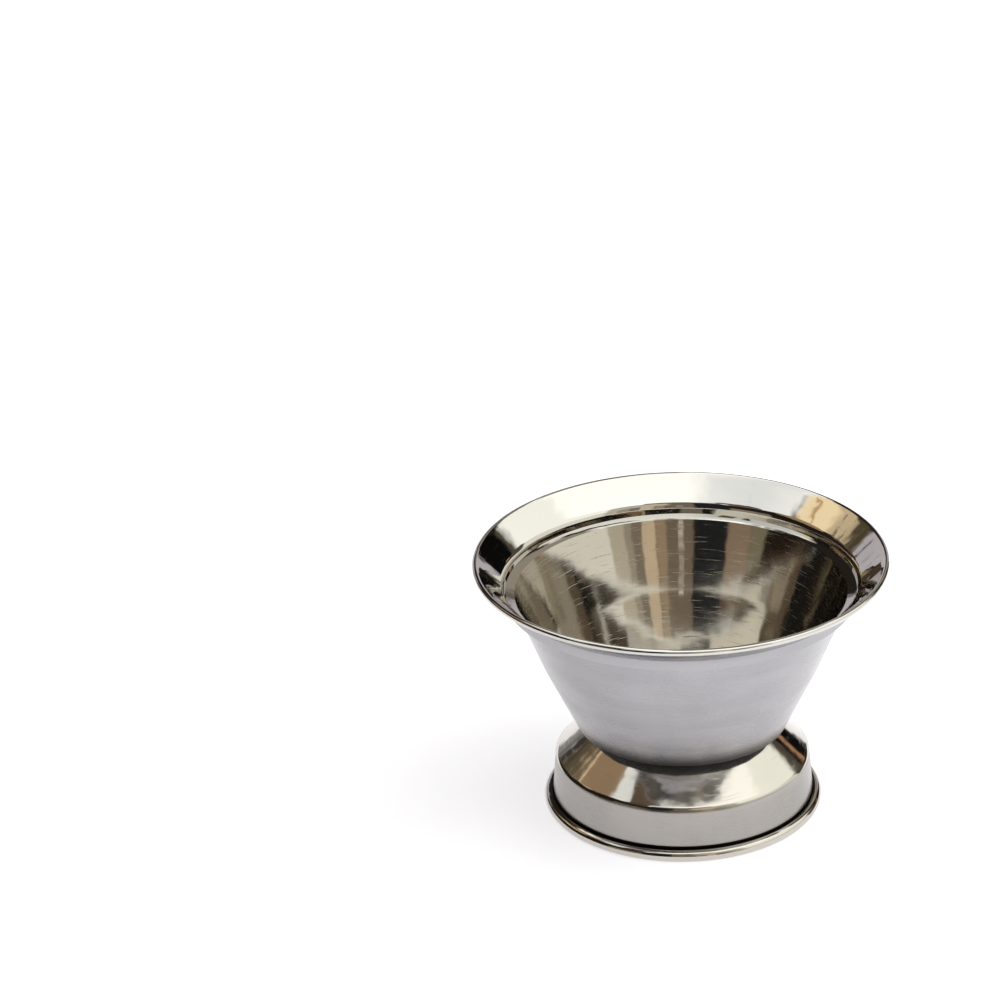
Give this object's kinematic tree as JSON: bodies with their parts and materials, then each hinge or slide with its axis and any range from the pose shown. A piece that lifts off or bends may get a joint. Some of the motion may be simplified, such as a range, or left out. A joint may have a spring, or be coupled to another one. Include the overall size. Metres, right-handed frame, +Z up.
{
  "type": "shaving bowl",
  "caption": "Footed stainless-steel shaving bowl: flared collar with a rolled rim and a small step above a sloping wall, welded to a hollow foot with a beaded base.",
  "frame": {"origin": "on the table plane, under the middle of the foot", "axes": "+Z up along the bowl's axis of symmetry; the bowl is round, so +X and +Y are free choices"},
  "size_m": [0.1, 0.1, 0.065],
  "materials": {
    "bowl_steel": "drawn stainless sheet, collar and rim mirror polished, wall satin polished inside and out",
    "foot_steel": "drawn stainless sheet, cone and bead polished, skirt satin",
    "weld_steel": "fused stainless steel, dull"
  },
  "bodies": {
    "root": {"bowl": "bowl_steel", "foot": "foot_steel", "spot_welds": "weld_steel"}
  },
  "joints": []
}
